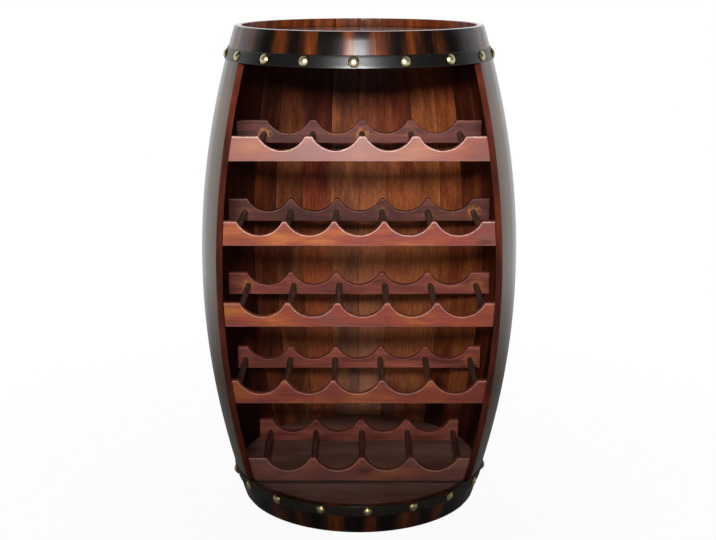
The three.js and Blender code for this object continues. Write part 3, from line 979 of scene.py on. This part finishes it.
# Oiled rather than lacquered: strong colour under a soft, wide sheen.
red_stained_pine = finish("red_mahogany_stained_pine", red_pine, planed, roughness=0.48,
                          specular_ior_level=0.4, ior=OIL_AND_LACQUER_IOR)
print("nodes in the front rails' finish:", len(red_stained_pine.node_tree.nodes))

# %% [markdown]
# ## Stain of the rear rails
# The rear rails are darker and browner. Round some dowels squeezed-out glue kept the stain from
# soaking in, and amber patches were left. A second material on cut-out faces would show hard
# edges, so each point carries its distance to the nearest dowel, and noise frays the patch's edge.

# %% Finish: rear rails
def dark_pine(tree):
    stain = add(tree, "ValToRGB", {"Fac": add(tree, "TexNoise", spots(tree, 12, 100, 3))}, [
        (0.3, "#4c221c"), (0.5, "#683128"), (0.7, "#824536")])
    stain = grained(tree, stain, (1.5, 60), 0.65, 1.3, 4, 0.65)
    tone = add(tree, "Attribute", out="Fac", attribute_name="tone")
    stain = add(tree, "VectorMath", {0: stain, "Scale": tone}, operation="SCALE")
    to_dowel = add(tree, "Attribute", attribute_name="dowel")
    reach = add(tree, "VectorMath", {0: to_dowel}, out="Value", operation="LENGTH")
    frayed = add(tree, "Math", {0: reach, 1: mottle(tree, (6, 6), -4 * MM, 4 * MM, 3)},
                 operation="ADD")
    near = add(tree, "MapRange", {"Value": frayed, **between(4 * MM, 13 * MM, 0.7, 0.0)})
    glue = add(tree, "Attribute", out="Fac", attribute_name="patch")
    amber = add(tree, "Math", {0: near, 1: glue}, operation="MULTIPLY")
    stain = add(tree, "Mix", {FACTOR: amber, FIRST: stain, SECOND: "#b0702c"}, data_type="RGBA")
    return rubbed_and_highlit(tree, stain, "#96655a")


# The same oiled pine, duller, because it was wiped and never polished.
dark_stained_pine = finish("dark_stained_pine", dark_pine, planed, roughness=0.55,
                           specular_ior_level=0.2, ior=OIL_AND_LACQUER_IOR)
print("nodes in the rear rails' finish:", len(dark_stained_pine.node_tree.nodes))

# %% [markdown]
# ## The section of a rail
# A rail is a loft along its length, and the loop is its thickness by its height at that place. The
# loop's corners are rounded by 1.1 mm, as a hand plane leaves them. A bevel modifier would spoil
# the narrow crests, so the corner points are laid out here, each with how worn it is and how much
# painted highlight it takes, more on the upper edge.

# %% Section of a rail
RAIL_ARRIS = 1.1 * MM
# wear and painted highlight round each corner, and less of both on the lower edge
CORNER_WEAR_AND_LIGHT = (0.05, 1.0, 1.0, 0.3)        # from the edge's flat round to the face
FACE_SHARES = (0.06, 1 / 3, 2 / 3, 0.94)   # heights of the points on a rail's face
LOWEST_WEAR_AND_LIGHT = 0.4
corner = [(RAIL_ARRIS * (1 - math.sin(t)), RAIL_ARRIS * (1 - math.cos(t)), crisp)
          for t, crisp in zip(QUARTER, CORNER_WEAR_AND_LIGHT)]
front_half = [(back, 0, drop, crisp) for back, drop, crisp in corner]
front_half += [(0, share, 0, 0.0) for share in FACE_SHARES]
front_half += [(back, 1, drop, crisp) for back, drop, crisp in corner[::-1]]


def rail_section(x, z, out, up, front, back, rub_and_light):
    """The loop where the top edge passes (x, z) and faces (out, up), and how worn and highlit each
    point is.
    """
    loop, worn_and_highlit = [], []
    for y, share, drop, crisp in front_half:
        if share == 0:
            px, pz = x, drop
        elif share == 1:
            px, pz = x - out * drop, z - up * drop
        else:
            px = x - out * RAIL_ARRIS * share
            pz = RAIL_ARRIS + (z - up * RAIL_ARRIS - RAIL_ARRIS) * share
        loop.append((px, front + y, pz))
        worn_and_highlit.append(crisp * (LOWEST_WEAR_AND_LIGHT + (1 - LOWEST_WEAR_AND_LIGHT) * share) * rub_and_light)
    mirrored = [(px, front + back - py, pz) for px, py, pz in loop[::-1]]
    return np.array(loop + mirrored), worn_and_highlit + worn_and_highlit[::-1]


print("points in a rail's loop:", 2 * len(front_half))

# %% [markdown]
# ## Building a rail
# The front rails' ends are scribed to the barrel's wall, and the rear rails are sawn square and
# stop a little short of it. The end loops are the first and last loops pushed out: the outermost
# reaches the cut and draws in for its rounding. Each point also gets its distance to the nearest
# dowel, and the patch of bleaching or glue at its place along the rail.

# %% Rail builder
END_GAP = 0.8 * MM
DOWEL_HEIGHT = 15 * MM
END_SHARES = (1, 0.998, 0.75, 0.5, 0.25)
END_DRAWS = (RAIL_ARRIS, 0, 0, 0, 0)


def rail_faces(node):
    """Depths of a rail's two faces. Dowels reach further forward, so its foot is measured."""
    cad = vertices(node)
    foot_shade = cad[cad[:, 2] < cad[:, 2].min() + MM / 10]
    return float(foot_shade[:, 1].min()), float(foot_shade[:, 1].max())


def wall_reach(y, z):
    """How far sideways the room inside the staves goes, at a depth and a height."""
    return np.sqrt(np.maximum((wall(z) - thickness - END_GAP) ** 2 - (y - axis_y) ** 2, 0))


def rail(name, node, finish_used, slot, crests, rods, patches, tone, rub_and_light, step, scribed, turned=1):
    low, high = (np.array(corner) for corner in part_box(node))
    front, back = rail_faces(node)
    tall = high[2] - low[2]
    top = scallops(crests, tall)
    ends = len(END_SHARES)
    left, right = (np.array([[x, tall, 0, 1]] * ends) for x in (top[0, 0], top[-1, 0]))
    top = np.concatenate([left, top, right])
    straight = (0,) * (len(top) - 2 * ends)
    shares = END_SHARES + straight + END_SHARES[::-1]
    draws = END_DRAWS + straight + END_DRAWS[::-1]
    loops, wear = [], []
    for (x, z, out, up), share, draw in zip(top, shares, draws):
        loop, worn_and_highlit = rail_section(x, z, out, up, front, back, rub_and_light)
        if share > 0:
            loop[:, 1] = np.clip(loop[:, 1], front + draw, back - draw)
            loop[:, 2] = np.clip(loop[:, 2], draw, tall - draw)
            edge = high[0] if x > 0 else low[0]
            if scribed:
                edge = np.sign(x) * wall_reach(loop[:, 1], loop[:, 2] + low[2])
            loop[:, 0] = x + (edge - x) * share
        loops.append(loop + (0, 0, low[2]))
        wear.append(worn_and_highlit)
    loops, wear = np.array(loops), np.array(wear)
    faces, _ = loft(loops)
    aside = abs(loops[..., 0, None] - rods)
    dowel = np.stack([aside.min(-1), 0 * wear, loops[..., 2] - low[2] - DOWEL_HEIGHT], -1)
    patch = np.interp(loops[..., 0], rods, patches)
    board = np.stack([loops[..., 2], loops[..., 1], turned * loops[..., 0] + step], -1)
    return make_piece(name, loops, faces, [finish_used], None, node, slot,
                      board=board, wear=wear, dowel=dowel, patch=patch, tone=0 * wear + tone)


print("end loops on each rail:", 2 * len(END_SHARES))

# %% [markdown]
# ## All the rails
# The photograph's tiers differ in tone, in how rubbed their edges are and how much painted highlight
# they take, and in where they carry a painted sheen or are stained by glue, and these lists say how,
# tier by tier, with one value for each crest. One front board was cut from the other end of its
# plank, so its grain is read the other way round.

# %% Build the rails
GLUED = {1: (1, 0, 0.8, 0.2, 0.1), 2: (0.2, 0, 0.1, 0.3, 0.1, 1), 3: (0.9, 0.2, 0.1, 0, 0.3, 0.9),
         4: (0.3, 0.2, 0.1, 0.3, 0.1, 0.8), 5: (0.2, 0.3, 0.1, 0.4, 0.2)}
# painted sheen: a pale patch along some front rails, one value for each crest
PAINTED_SHEEN = {1: (0.26, 0.42, 0.5, 0.32, 0.1), 5: (0.2, 0.1, 0.05, 0.06, 0.2)}
FRONT_TONES = {1: 0.69, 2: 0.85, 3: 0.92, 4: 0.83, 5: 0.6}
REAR_TONES = {1: 0.6, 2: 0.45, 3: 1.3, 4: 1.55, 5: 1.4}
# wear and painted highlight on the edges, brightest on the upper tiers
RUBBED_AND_HIGHLIT = {1: 1.0, 2: 0.9, 3: 0.6, 4: 0.55, 5: 0.55}
REAR_RUBBED_AND_HIGHLIT = 0.6
TURNED_TIER = 2
FRONT_GRAIN_STEP, REAR_GRAIN_STEP = 1.3, 2.1       # so that no two rails share their grain
for tier, places in crests.items():
    rail(f"front_scalloped_rail_{tier}", f"front_rail_{tier}", red_stained_pine,
         "red_stained_pine", places, places, PAINTED_SHEEN.get(tier, 0 * places), FRONT_TONES[tier],
         RUBBED_AND_HIGHLIT[tier], tier * FRONT_GRAIN_STEP, scribed=True,
         turned=-1 if tier == TURNED_TIER else 1)
    rail(f"rear_scalloped_rail_{tier}", f"rear_rail_{tier}", dark_stained_pine,
         "dark_stained_pine", rear_crests[tier], places, GLUED[tier], REAR_TONES[tier],
         REAR_RUBBED_AND_HIGHLIT, tier * REAR_GRAIN_STEP, scribed=False)
print("rails:", 2 * len(crests))

# %% [markdown]
# ## Dowels
# Round rods join each pair of rails under every crest, so that a bottle can't slip between them.
# They are plain turned beech, stained nearly black-brown. A cylinder primitive could serve, but a
# loft whose loop is a circle also gives the points their place along the grain. The rods run a
# millimetre into each rail, so that no gap shows.

# %% Finish and build: dowels
DOWEL_RADIUS, SUNK = 5 * MM, 1 * MM
ROD_STEPS, ROD_ROWS = 24, 9
GRAIN_STEP_ROD = 0.7


def dowel_stain(tree):
    return add(tree, "ValToRGB", {"Fac": add(tree, "TexNoise", spots(tree, 3, 60, 3))}, [
        (0.3, "#2e1c16"), (0.5, "#4c332a"), (0.7, "#66504a")])


# Close-grained and smooth: one thin line of light along each rod.
dowel_wood = finish("dark_stained_beech_rod", dowel_stain, planed, roughness=0.5,
                    ior=OIL_AND_LACQUER_IOR)


def rod(name, x, z, front, back, step):
    turn = full_turn(ROD_STEPS)
    along = np.linspace(front, back, ROD_ROWS)[:, None]
    points = np.stack([x + DOWEL_RADIUS * np.cos(turn) + 0 * along, along + 0 * turn,
                       z + DOWEL_RADIUS * np.sin(turn) + 0 * along], -1)
    faces, _ = loft(points)
    place = np.stack([DOWEL_RADIUS * turn + 0 * along, 0 * turn + 0 * along,
                      along + 0 * turn + step], -1)
    return make_piece(name, points, faces, [dowel_wood], None, None, "dark_stained_pine",
                      board=place)


rods = []
for tier, places in crests.items():
    front, back = rail_faces(f"front_rail_{tier}")[1], rail_faces(f"rear_rail_{tier}")[0]
    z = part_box(f"front_rail_{tier}")[0].z + DOWEL_HEIGHT
    for i, x in enumerate(places):
        rods.append(rod(f"dowel_{tier}_{i + 1}", x, z, front - SUNK, back + SUNK,
                        len(rods) * GRAIN_STEP_ROD))
print("dowels:", len(rods))

# %% [markdown]
# ## The floor
# The rack stands on a white paper sweep. Plain white paper under the lamps would be grey in one
# place and clipped in another. So the camera sees paper that glows evenly, except within 0.9 m of
# the rack's middle, where a little of the real, shaded paper shows and keeps the soft shadow.
# Light Path tells the rays apart: a mirror ray meets paper painted darker, with a painted glowing
# card in front of the opening and a white glow far off, painted reflections that stand in for the
# way a studio reflects in lacquer.

# %% Floor
SWEEP = 9.0       # metres from the rack to each edge of the paper
floor_mesh = bpy.data.meshes.new("floor")
floor_mesh.from_pydata([(x * SWEEP, y * SWEEP, 0) for x, y in ((-1, -1), (1, -1), (1, 1), (-1, 1))],
                       [], [(0, 1, 2, 3)])
floor = bpy.data.objects.new("floor", floor_mesh)
bpy.context.scene.collection.objects.link(floor)
paper = bpy.data.materials.new("white_paper_sweep")
paper.use_nodes = True
tree = paper.node_tree
tree.nodes.clear()
# painted reflection: mirror rays see the paper darker than the camera does
mirror_ray = add(tree, "LightPath", out="Is Glossy Ray")
shade = add(tree, "Mix", {FACTOR: mirror_ray, FIRST: "#e8e8e8", SECOND: "#a4a4a4"},
            data_type="RGBA")
matt = add(tree, "BsdfDiffuse", {"Color": shade})
glow = add(tree, "Emission", {"Color": "#ffffff", "Strength": 1.0})
print("floor:", [round(side, 1) for side in floor.dimensions[:2]], "m")

# %% Where the floor glows
# Each range gives two places in metres, then the share of glow at the two.
SEEN_GLOW = (0.3, 0.9, 0.95, 1.0)
MIRRORED_FAR = (0.6, 1.6, 0.0, 0.9)
# painted reflection: a card that glows on the paper in front of the opening, seen only by mirror
# rays
PAINTED_CARD_AHEAD, PAINTED_CARD_ASIDE = (-0.5, -0.35, 0.8, 0.0), (0.06, 0.16, 1.0, 0.0)
DARK_BY_CAMERA = (-2.2, -1.5, 0.05, 1.0)
place = add(tree, "NewGeometry", out="Position")
distance = add(tree, "VectorMath", {0: place}, out="Value", operation="LENGTH")
heading = add(tree, "SeparateXYZ", {0: place}, out="Y")
away = add(tree, "MapRange", {"Value": distance, **between(*SEEN_GLOW)})
seen = add(tree, "Math", {0: add(tree, "LightPath", out="Is Camera Ray"), 1: away},
           operation="MULTIPLY")
far = add(tree, "MapRange", {"Value": distance, **between(*MIRRORED_FAR)})
aside = add(tree, "Math", {0: add(tree, "SeparateXYZ", {0: place}, out="X")}, operation="ABSOLUTE")
ahead = add(tree, "MapRange", {"Value": heading, **between(*PAINTED_CARD_AHEAD)})
strip = add(tree, "MapRange", {"Value": aside, **between(*PAINTED_CARD_ASIDE)})
painted_card_glow = add(tree, "Math", {0: strip, 1: ahead}, operation="MULTIPLY")
bright = add(tree, "Math", {0: far, 1: painted_card_glow}, operation="MAXIMUM")
not_behind_camera = add(tree, "MapRange", {"Value": heading, **between(*DARK_BY_CAMERA)})
bright = add(tree, "Math", {0: bright, 1: not_behind_camera}, operation="MULTIPLY")
mirrored = add(tree, "Math", {0: mirror_ray, 1: bright}, operation="MULTIPLY")
share = add(tree, "Math", {0: seen, 1: mirrored}, operation="MAXIMUM")
add(tree, "OutputMaterial", {"Surface": add(tree, "MixShader", {0: share, 1: matt, 2: glow})})
floor_mesh.materials.append(paper)
print("nodes in the paper:", len(tree.nodes))

# %% [markdown]
# ## The studio round it
# Behind the rack the studio is white, which is why the lacquer's flanks mirror pale grey. In front
# of it, behind the camera, it is nearly dark, so the rails and boards keep their colour, with only
# a thin pale band at the horizon. An image of a studio could do this, but three ranges of a ray's
# heading and level are enough. To the camera, and through clear things, all of it is plain white.

# %% World
world = bpy.data.worlds.new("studio")
world.use_nodes = True
bpy.context.scene.world = world
tree = world.node_tree
tree.nodes.clear()
# A ray's heading goes from -1 toward the camera to 1 away from it, and its level from 0 at the
# horizon to 1 overhead. Each range gives two of these, then the brightness at the two.
WHITE_BACK = (0.1, 0.5, 0.02, 1.0)
HORIZON_BAND = (0.03, 0.15, 0.6, 0.0)
DARK_AT_CAMERA = (-0.97, -0.85, 0.05, 1.0)
toward = add(tree, "TexCoord", out="Generated")
heading = add(tree, "SeparateXYZ", {0: toward}, out="Y")
behind = add(tree, "MapRange", {"Value": heading, **between(*WHITE_BACK)})
level = add(tree, "Math", {0: add(tree, "SeparateXYZ", {0: toward}, out="Z")}, operation="ABSOLUTE")
band = add(tree, "MapRange", {"Value": level, **between(*HORIZON_BAND)})
sides = add(tree, "MapRange", {"Value": heading, **between(*DARK_AT_CAMERA)})
horizon = add(tree, "Math", {0: band, 1: sides}, operation="MULTIPLY")
room = add(tree, "Math", {0: behind, 1: horizon}, operation="MAXIMUM")
camera_ray = add(tree, "LightPath", out="Is Camera Ray")
clear_ray = add(tree, "LightPath", out="Is Transmission Ray")
white = add(tree, "Math", {0: camera_ray, 1: clear_ray}, operation="MAXIMUM")
studio = add(tree, "Background", {"Color": "#ffffff", "Strength": room})
backdrop = add(tree, "Background", {"Color": "#ffffff", "Strength": 1.0})
lit = add(tree, "MixShader", {0: white, 1: studio, 2: backdrop})
add(tree, "OutputWorld", {"Surface": lit})
print("nodes in the studio:", len(tree.nodes))

# %% [markdown]
# ## Lamps
# Three soft boxes light the front. The key hangs in front of the opening, higher than the rack, and
# lights the chime and the upper tiers most. A larger one by the camera fills the inside, and a weak
# low one brings out the lower rivets. One big lamp would be simpler, but then the lower tiers
# would come out as bright as the upper ones. A narrow spread keeps each lamp's light off the floor
# round the rack.

# %% Build the lamps
def softbox(name, place, target, size, power, spread):
    """An area lamp of the given size in metres, turned to face a target."""
    data = bpy.data.lights.new(name, "AREA")
    data.shape = "RECTANGLE"
    data.size, data.size_y = size
    data.energy = power
    data.spread = math.radians(spread)
    lamp = bpy.data.objects.new(name, data)
    lamp.location = place
    toward = np.array(target) - np.array(place)
    lamp.rotation_euler = (math.atan2(math.hypot(toward[0], toward[1]), -toward[2]), 0,
                           math.atan2(toward[0], -toward[1]) + math.pi)
    lamp.visible_camera = False
    bpy.context.scene.collection.objects.link(lamp)
    return lamp


# Place, target and size are in metres, then come watts and the spread in degrees.
lamps = [
    softbox("key_above_opening", (-0.03, -1.25, 1.23), (0, -0.1, 0.68), (0.34, 0.2), 0.46, 60),
    softbox("main_front_light", (-0.08, -2.1, 1.15), (0, -0.1, 0.68), (0.5, 0.2), 3.0, 36),
    softbox("low_front_light", (-0.25, -1.9, 0.25), (0, -0.25, 0.0), (0.3, 0.15), 0.07, 16)]
print("lamps in watts:", {lamp.name: round(lamp.data.energy, 2) for lamp in lamps})
